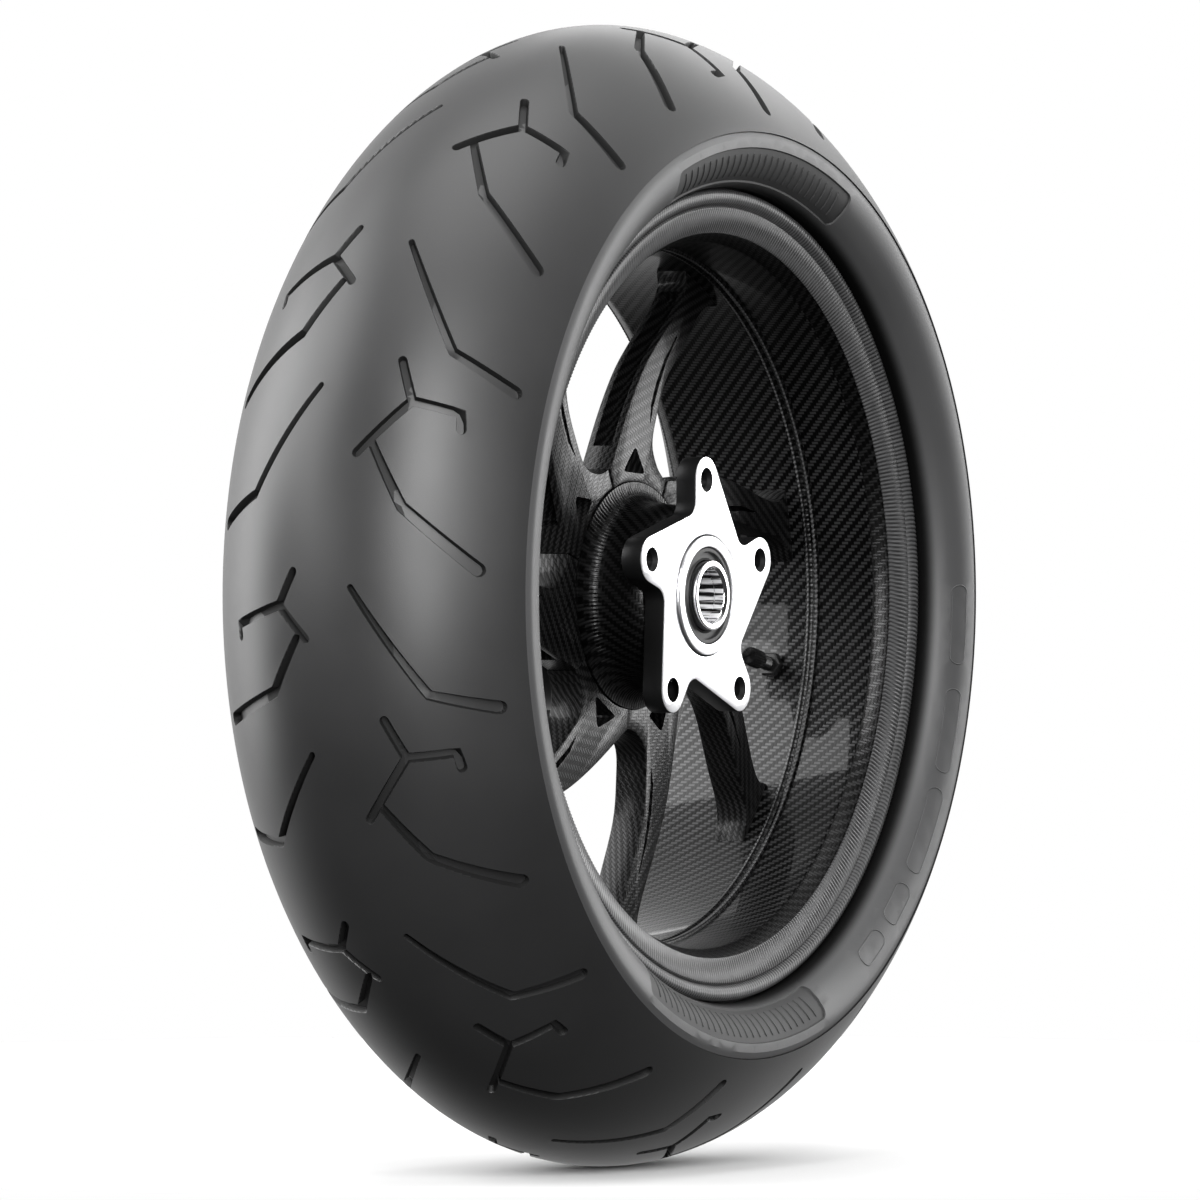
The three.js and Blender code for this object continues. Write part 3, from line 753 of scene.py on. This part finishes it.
def make_sidewall(side, flip):
    skin = Skin([*smooth_line(SIDE_LINE, 10), *SIDE_STEP])
    panels, ribs = panel_marks(skin)
    groups = [(panels, [(0, 0), (0.7, -0.9)]), (ribs, [(0, 0), (0.5, 0.5)]),
              (capsule_marks(skin), [(0, 0), (0.4, 0.35)])]
    seam = unrolled(SIDE_SEAM - 360)
    face = relief(skin, seam, seam + 2 * math.pi * REF_R, 180, 22, groups)
    back = [SIDE_STEP[-1], (263.2, -89.9), (247.3, -85.4), SIDE_LINE[0]]
    verts, faces = merge([face, open_ring(back, 180)])
    mesh = mesh_of(verts * (1, -1 if flip else 1, 1), faces, weld=0.004)
    paint(mesh, [SIDE_RUBBER, PANEL_RUBBER], in_panels(mesh, panels, skin))
    add_piece(f"sidewall_{side}", mesh, None,
              nodes=[f"sidewall_{side}_side"], crease=25)


def in_panels(mesh, panels, skin):
    """Which faces lie in the sunk panels."""
    centres = np.array([tuple(f.center) for f in mesh.polygons]) / MM
    r = np.hypot(centres[:, 0], centres[:, 2])
    u = np.arctan2(centres[:, 2], centres[:, 0]) * REF_R
    spots = np.stack([u, np.interp(r, skin.r, skin.v)], -1)
    return (np.max([p.inside(spots) for p in panels], 0) > 0.1) & (np.abs(centres[:, 1]) > 78)


# ---- carbon wheel -------------------------------------------------------------------------------
LIP_LINE = [(206.6, -70.0), (207.4, -70.7), (214, -72.9), (220.4, -74.9), (221.2, -74.6), (221.9, -73.2),
            (222.9, -74.7), (224.3, -76.1), (226.2, -76.9), (228.4, -77.1), (230.2, -76.3),
            (231.1, -74.8), (231.3, -72.4), (229.4, -70.4), (219.2, -69.4), (207.2, -68.4)]
BARREL_EDGE = [(BARREL_R, 61.2), (206.6, 69.6), (219, 69.2), (217.4, 51.2), (207, 35.2)]


def make_rim():
    outline = rounded([*BARREL_EDGE, *mirrored(BARREL_EDGE)[::-1]], 1.5, 2)
    barrel = ring_mesh(outline, 256)
    hole = prism(arc(VALVE_HOLE_R, 0, 345, 23), 190, 212)
    hole.transform(valve_place())
    barrel = combine(barrel, [hole], "DIFFERENCE")
    sloped = [abs(face.center.y) > SLOPE_START * MM for face in barrel.polygons]
    paint(barrel, [BARREL_CARBON, EDGE_CARBON], sloped)
    add_piece("rim_barrel_carbon", barrel, None, nodes=["rim_barrel"], crease=30)
    ribbed = lambda r, y: 1.0 if r > 206.9 and abs(y) > 70.5 and not 220.8 < r < 222.5 else 0.0
    for side, line in (("disc", LIP_LINE), ("drive", mirrored(LIP_LINE))):
        mesh = ring_mesh(line, 3 * LIP_RIBS, ribs=LIP_RIBS, rib_height=0.3, ribbed=ribbed, slant=0.16)
        add_piece(f"rim_lip_{side}", mesh, RIM_BRAID, crease=60)


def make_ridge():
    """The dark cord round the inside of the barrel, with a light braided bead along each side."""
    half = [(201.7, -4.2), (200.4, -4.1), (199.6, -3.3), (199.4, -2.1), (199.9, -0.9)]
    line = [*half, (200.5, 0), *mirrored(half)[::-1]]
    outline = [(r, y + RIDGE_MIDDLE) for r, y in line]
    mesh = ring_mesh(outline, 3 * RIDGE_RIBS, ribs=RIDGE_RIBS, rib_height=0.3)
    start, end = RIDGE_BEAD
    beads = [start < abs(face.center.y / MM - RIDGE_MIDDLE) < end for face in mesh.polygons]
    paint(mesh, [EDGE_CARBON, RIDGE_BRAID], beads)
    add_piece("rim_ridge", mesh, None, crease=60)


# A spoke's edges as (radius, degrees from its foot), from the root to the foot.
LEADING = [(77, 45.9), (105, 28.1), (130, 18.8), (150, 12.2), (170, 6.9), (184, 4.4), (193, 3.9),
           (198.5, 4.6)]
TRAILING = [(77, -2), (80, 4), (90, 9.5), (106, 9), (131, 6.3), (163, 0.2), (183, -2.2),
            (193, -4.2), (198.5, -6.4)]
SLIT = [(102, 12.9, 0.4), (112, 12.6, 1.5), (126, 10.6, 1.8), (142, 8.0, 1.4), (160, 4.6, 0.4)]


def spoke_outline():
    root_start, root_end = -5.2, -5.2 + 360 / SPOKES - 0.4
    trailing = smooth_line([polar(*p) for p in TRAILING], 5)
    leading = smooth_line([polar(*p) for p in LEADING], 5)
    return [*arc(SPOKE_ROOT_R + 0.3, root_end, root_start, 10), polar(77, root_start), *trailing,
            *arc(BARREL_R - 0.2, -7.4, 4.9, 4), *leading[::-1]]


def inward(line, distance):
    """An open line moved to its right."""
    p = np.array([tuple(q) for q in line])
    along = unit(np.gradient(p, axis=0))
    return p + np.stack([along[:, 1], -along[:, 0]], -1) * distance


def spoke_cutters():
    """The side pocket, the window at the root and the slit in the face."""
    edge = smooth_line([polar(*p) for p in LEADING[:-1]], 5)[2:-2]
    pocket = [*map(tuple, inward(edge, -3)), *map(tuple, inward(edge, 9)[::-1])]
    window = rounded([polar(86, 23), polar(72, 35), polar(71, 14)], 3.5)
    path = Stroke([(*polar(r, a), w) for r, a, w in SLIT])
    slit = [tuple(p) for p in path.loops(0)[0]]
    return [prism(rounded(pocket, 2.5, 2), SPOKE_FRONT + 4, SPOKE_BACK - 4),
            prism(window, SPOKE_FRONT - 2, SPOKE_BACK + 2), prism(slit, SPOKE_FRONT - 2, SPOKE_FRONT + 6)]


def make_spokes():
    mesh = combine(plate([spoke_outline()], SPOKE_FRONT, SPOKE_BACK, 1.0), spoke_cutters(), "DIFFERENCE")
    slope = SPOKE_LEAN / (BARREL_R - SPOKE_ROOT_R)
    for vertex in mesh.vertices:
        vertex.co.y += slope * (vertex.co.x - SPOKE_ROOT_R * MM)
    for i in range(SPOKES):
        turn = Matrix.Rotation(-math.radians(SPOKE_ANGLE - 360 / SPOKES * i), 4, "Y")
        add_piece(f"spoke_{i + 1}_carbon", mesh, SPOKE_CARBON,
                  nodes=[f"spoke_{i + 1}"], crease=30, turn=turn)


# ---- hub ----------------------------------------------------------------------------------------
def make_hub():
    end = STAR_FACE + STAR_T + 0.3
    shell = [(BOSS_R + 0.3, end), (49, end), (50, -48.6), (52, -40), (53, -32), (53.6, -24), (55, -20.5),
             (58, -17.2), (62, -15.4), (65, -15), (65, 14), (BOSS_R + 0.3, 14)]
    ribbed = lambda r, y: 1.0 if y < -14.5 and 53.3 < r < 64 else 0.0
    mesh = ring_mesh(shell, 4 * HUB_RIBS, ribs=HUB_RIBS, rib_height=0.2, ribbed=ribbed)
    add_piece("hub_shell_carbon", mesh, HUB_CARBON, nodes=["hub_shell"], crease=50)
    face, step = STAR_FACE - BOSS_H, RACE_R + 0.3
    sleeve = [(BOSS_R, face), (step, face), (step, -45.3), (24, -45.3), (24, 9.1), (step, 9.1),
              (step, 24.3), (BOSS_R, 24.3)]
    add_piece("hub_sleeve_turned", ring_mesh(rounded(sleeve, 0.7, 2), 120), BRIGHT,
              nodes=["hub_sleeve"])


def star_outline():
    """Five lobes, each with a straight side and a hollow one."""
    points = []
    lobe = [*arc(LOBE_R, -58.5, 90, 12, (BOLT_R, 0)), (54, LOBE_R), (51.6, 13.5), (49.8, 14.3),
            (48.2, 15.3), (46.9, 16.5), (45.7, 18.2)]
    for i in range(LOBES):
        turn = math.radians(90 + 360 / LOBES * i)
        c, s = math.cos(turn), math.sin(turn)
        points += [(x * c - z * s, x * s + z * c) for x, z in lobe]
    return points


def make_star():
    bore = arc(BOSS_R + 0.9, 0, 354, 59)
    centres = [polar(BOLT_R, 90 + 360 / LOBES * i) for i in range(LOBES)]
    holes = [arc(BOLT_HOLE_R, 0, 345, 23, centre) for centre in centres]
    body = plate([star_outline(), bore, *holes], STAR_FACE, STAR_FACE + STAR_T, 0.7)
    chamfer = [(0, STAR_FACE - 2), (CHAMFER_R, STAR_FACE - 2), (CHAMFER_R, STAR_FACE + 0.6),
               (BOLT_HOLE_R, STAR_FACE + 2.6), (0, STAR_FACE + 2.6)]
    body = combine(body, [spun(chamfer, centre) for centre in centres], "DIFFERENCE")
    faces = np.array([tuple(f.center) for f in body.polygons]) / MM
    gaps = np.min([np.hypot(*(faces[:, ::2] - centre).T) for centre in centres], 0)
    upright = np.array([abs(f.normal.y) < 0.5 for f in body.polygons])
    countersunk = (gaps < CHAMFER_R - 0.05) & (faces[:, 1] > STAR_FACE + 0.1)
    # The upright sides and the countersunk holes are painted dark steel.
    paint(body, [BRIGHT, DARK_STEEL], upright | countersunk)
    add_piece("star_carrier", body, None, nodes=["brake_disc_carrier"], crease=25)


def make_axle_ends():
    mouth = [(16.6, -66.5), (COLLAR_R, -66.5), (COLLAR_R, -58.9), (AXLE_R, -58.9), (AXLE_R, -64.9)]
    collar = ring_mesh(rounded(mouth, 0.6, 2), 96)
    in_bore = [face.center.xz.length < (AXLE_R + 0.2) * MM for face in collar.polygons]
    paint(collar, [MACHINED, BORE_METAL], in_bore)
    add_piece("collar_disc", collar, None, "axle_group", ["collar_disc_side"])
    far = [(AXLE_R, 63), (COLLAR_R, 63), (COLLAR_R, 84), (16.4, 84), (AXLE_R, 82.6)]
    add_piece("collar_drive", ring_mesh(rounded(far, 0.6, 2), 96), MACHINED,
              "axle_group", ["collar_drive_side"])


def seal_outline(front, back):
    """A dust seal: a hard rim, a hollow and a thin lip against the collar."""
    d = 1 if back > front else -1
    return [(27.1, front), (27.1, back), (20.3, back), (20.3, front + 1.6 * d), (21.0, front + 0.8 * d),
            (21.6, front + 1.8 * d), (24.6, front + 1.8 * d), (25.2, front)]


def make_seals():
    add_piece("seal_disc", ring_mesh(seal_outline(-63.0, -59), 96), SEAL_RUBBER,
              nodes=["seal_disc_side"])
    add_piece("seal_drive", ring_mesh(seal_outline(68.0, 63.1), 96), SEAL_RUBBER,
              "sprocket_carrier", ["seal_drive_side"])


# ---- drive side ---------------------------------------------------------------------------------
def radial_wall(r0, r1, half, y0, y1, angle):
    """A flat wall between two radii and two heights, turned to an angle."""
    corners = [(r0, -half), (r1, -half), (r1, half), (r0, half)]
    wall = prism(corners, y0, y1)
    wall.transform(Matrix.Rotation(-math.radians(angle), 4, "Y"))
    return wall


def five(make):
    """What a function makes at each of the drive side's five angles."""
    return [make(72 * i + 18) for i in range(5)]


def make_drum():
    cup = [(34.3, DRUM_FLOOR), (DRUM_R, DRUM_FLOOR), (DRUM_R, 48), (DRUM_R + 0.9, 49),
           (DRUM_R + 0.9, DRUM_END), (62, DRUM_END), (62, 18.3), (34.3, 18.3)]
    ribs = five(lambda angle: radial_wall(38, 63, 3, 17.3, 48, angle))
    body = combine(ring_mesh(rounded(cup, 0.8, 2), 128), ribs, "UNION")
    add_piece("cush_drum_cast", body, DARK_ALLOY, nodes=["cush_drum"])


def make_carrier():
    inner, step = RACE_R + 0.3, 49.4
    outline = [(24, step - 6), (33.5, step - 6), (33.5, 53), (CARRIER_R, 53), (CARRIER_R, CARRIER_FACE),
               (58, CARRIER_FACE), (58, 67), (37.5, 71), (inner, 71), (inner, step), (24, step)]
    body = combine(ring_mesh(rounded(outline, 0.9, 2), 144),
                   five(lambda angle: radial_wall(42, 55, 4, 22.3, 55, angle + 36)), "UNION")
    bore = [(0, 50), (5.3, 50), (5.3, 61.6), (6.8, 63.1), (6.8, 65), (0, 65)]
    holes = five(lambda angle: spun(bore, polar(STUD_CIRCLE_R, angle)))
    add_piece("carrier_turned", combine(body, holes, "DIFFERENCE"), DARK_ALLOY,
              "sprocket_carrier", ["sprocket_carrier"], crease=30)


def make_studs():
    """Studs with a plain shank and a fine thread for the sprocket nuts."""
    thread = []
    for y in np.arange(66, STUD_END - 1.6, 1.25):
        thread += [(STUD_R - 0.1, y), (STUD_R - 0.75, y + 0.62)]
    line = [(0, 53.2), (STUD_R, 53.2), (STUD_R, 65), *thread, (STUD_R - 1.0, STUD_END), (0, STUD_END)]
    for i, centre in enumerate(five(lambda angle: polar(STUD_CIRCLE_R, angle))):
        add_piece(f"stud_{i + 1}", spun(line, centre), STEEL, "sprocket_carrier",
                  [f"sprocket_stud_{i + 1}"], crease=50)


# ---- valve --------------------------------------------------------------------------------------
def valve_place():
    """Turns a piece made round Y onto the valve's own line, its y becoming the distance out."""
    return (Matrix.Rotation(-math.radians(VALVE_ANGLE), 4, "Y") @ Matrix.Translation((0, VALVE_Y * MM, 0))
            @ Matrix.Rotation(-math.pi / 2, 4, "Z"))


def on_valve(outline, segments=32, **ribs):
    mesh = ring_mesh(outline, segments, **ribs)
    mesh.transform(valve_place())
    return mesh


def make_valve():
    seat, tip = VALVE_SEAT, VALVE_TIP
    thread = []
    for y in np.arange(tip + 11, seat - 7, 0.9):
        thread += [(4.15, y), (3.6, y + 0.45)]
    stem = [(2.4, tip), (3.6, tip), *thread, (4.2, seat - 6.4), (4.2, 208), (7, 208), (7, 211),
            (2.4, 211)]
    nut = [(4.6, seat - 6), (6.6, seat - 6), (7.6, seat - 5.2), (7.6, seat - 1), (7.4, seat),
           (4.6, seat)]
    cap = [(4.6, tip + 9.8), (5.3, tip + 9.8), (5.4, tip + 9), (5.4, tip - 1.6), (4.4, tip - 2.9),
           (0.01, tip - 2.9), (0.01, tip - 0.4), (4.6, tip - 0.4)]
    seal = [(4.6, 207.3), (7, 207.3), (7, 207.7), (4.6, 207.7)]
    add_piece("valve_stem_threaded", on_valve(stem), BLACK_ALLOY,
              nodes=["valve_stem"], crease=50)
    add_piece("valve_nut_hex", on_valve(nut, 6), BLACK_ALLOY,
              nodes=["valve_nut"], crease=20)
    add_piece("valve_cap_knurled", on_valve(cap, 96, ribs=24, rib_height=0.18), BLACK_ALLOY,
              "valve_cap", ["valve_cap"])
    add_piece("valve_washer", on_valve(seal), SEAL_RUBBER, nodes=["valve_seal"])


# ---- CAD nodes that are kept --------------------------------------------------------------------
# A node takes the first material whose key starts its name.
KEPT = {"steel_belt": CORDS, "carcass": CORDS, "inner_liner": INNER_RUBBER, "bead_wire": STEEL,
        "bead_": INNER_RUBBER, "bearing_disc_side_inner": BORE_METAL, "bearing_": STEEL,
        "spacer_tube": MACHINED, "carrier_spacer": MACHINED, "cush_rubber": SEAL_RUBBER,
        "valve_pin": STEEL}


def finish_kept():
    for name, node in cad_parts.items():
        material = next((m for key, m in KEPT.items() if name.startswith(key)), None)
        if material and not node.hide_render:
            node.data.materials.clear()
            node.data.materials.append(material)


# ---- studio -------------------------------------------------------------------------------------
VIEW_AZIMUTH, CAMERA_DISTANCE, LENS = 60.0, 5.305, 277.4
CAMERA_OFFSET = (-0.00691, -0.00257)
FLOOR_R, FLOOR_BACK = 900, 640  # the floor lies mostly behind the wheel
BACKDROP_TILT = 30  # degrees by which its brightest part is raised
BACKDROP_FADE = (-0.1, 0.8, 0.05, 1.0)  # how far round it reaches, and its faint and full light
# Name, azimuth, elevation, distance, width, height and power of each softbox.
SOFTBOXES = [
    ("top", -40, 80, 2.6, 2.0, 2.0, 42),
    ("right", 60, 14, 3.0, 1.4, 2.0, 62),
    ("front", -51, 18, 4.0, 1.0, 3.4, 225),
    ("left_edge", 182, 10, 3.0, 1.6, 2.4, 50),
    ("over_back", 216, 34, 3.0, 2.4, 2.2, 85),
    ("left_fill", -112, 10, 3.5, 2.2, 0.9, 26),
    ("behind", 106, 32, 2.8, 1.6, 1.0, 13),
]


def direction(azimuth, elevation):
    """Towards a place round the wheel: azimuth 0 is -Y, and 90 is +X."""
    a, e = math.radians(azimuth), math.radians(elevation)
    return Vector((math.sin(a) * math.cos(e), -math.cos(a) * math.cos(e), math.sin(e)))


def make_camera():
    back = direction(-VIEW_AZIMUTH, 0.06)
    turn = math.radians(VIEW_AZIMUTH)
    right = Vector((math.cos(turn), -math.sin(turn), 0))
    data = bpy.data.cameras.new("camera")
    data.lens, data.sensor_width, data.clip_end = LENS, 36, 100
    camera = bpy.data.objects.new("camera", data)
    shift, rise = CAMERA_OFFSET
    camera.location = back * CAMERA_DISTANCE + right * shift + Vector((0, 0, rise))
    camera.rotation_mode = "QUATERNION"
    camera.rotation_quaternion = (-back).to_track_quat("-Z", "Y")
    bpy.context.scene.collection.objects.link(camera)
    bpy.context.scene.camera = camera


def add_softbox(name, azimuth, elevation, distance, width, height, power):
    """A soft rectangular light that faces the wheel and that the camera doesn't see."""
    towards = direction(azimuth, elevation)
    data = bpy.data.lights.new(name, "AREA")
    data.shape, data.size, data.size_y, data.energy = "RECTANGLE", width, height, power
    light = bpy.data.objects.new(name, data)
    light.location = towards * distance
    light.rotation_mode = "QUATERNION"
    light.rotation_quaternion = towards.to_track_quat("Z", "Y")
    light.visible_camera = False
    bpy.context.scene.collection.objects.link(light)


def make_backdrop():
    """A world that the camera sees as white, and that lights the wheel only from behind."""
    world = bpy.data.worlds.new("studio")
    world.use_nodes = True
    nodes, links = world.node_tree.nodes, world.node_tree.links
    away = nodes.new("ShaderNodeVectorMath")
    away.operation = "DOT_PRODUCT"
    away.inputs[1].default_value = direction(180 - VIEW_AZIMUTH, BACKDROP_TILT)
    links.new(nodes.new("ShaderNodeTexCoord").outputs["Generated"], away.inputs[0])
    fade = nodes.new("ShaderNodeMapRange")
    fade.interpolation_type = "SMOOTHSTEP"
    for socket, value in zip(fade.inputs[1:5], BACKDROP_FADE):
        socket.default_value = value
    links.new(away.outputs["Value"], fade.inputs[0])
    strength = nodes.new("ShaderNodeMix")
    strength.inputs[3].default_value = 1.0
    links.new(nodes.new("ShaderNodeLightPath").outputs["Is Camera Ray"], strength.inputs[0])
    links.new(fade.outputs[0], strength.inputs[2])
    links.new(strength.outputs[0], nodes["Background"].inputs["Strength"])
    nodes["Background"].inputs["Color"].default_value = (1, 1, 1, 1)
    bpy.context.scene.world = world


def make_floor():
    """A pale disc that takes the wheel's shadow, but neither shows in the wheel nor lights it."""
    middle = direction(180 - VIEW_AZIMUTH, 0) * FLOOR_BACK
    edge = arc(FLOOR_R, 0, 356, 89, middle[:2])
    verts = [(x, y, -CROWN_R - 0.2) for x, y in edge]
    floor = bpy.data.objects.new("floor", mesh_of(verts, [list(range(len(verts)))]))
    n = Nodes("floor_white", Roughness=0.9)
    n.colour(n.noise(2, 2), (0.68, 0.68, 0.68), (0.7, 0.7, 0.7))
    floor.data.materials.append(n.material)
    floor.visible_diffuse = floor.visible_glossy = False
    bpy.context.scene.collection.objects.link(floor)


def make_studio():
    bpy.context.scene.view_settings.view_transform = "Standard"
    make_camera()
    make_backdrop()
    for softbox in SOFTBOXES:
        add_softbox(*softbox)
    make_floor()


make_studio()
make_tread()
make_sidewall("disc", False)
make_sidewall("drive", True)
make_rim()
make_ridge()
make_spokes()
make_hub()
make_star()
make_axle_ends()
make_seals()
make_drum()
make_carrier()
make_studs()
make_valve()
finish_kept()
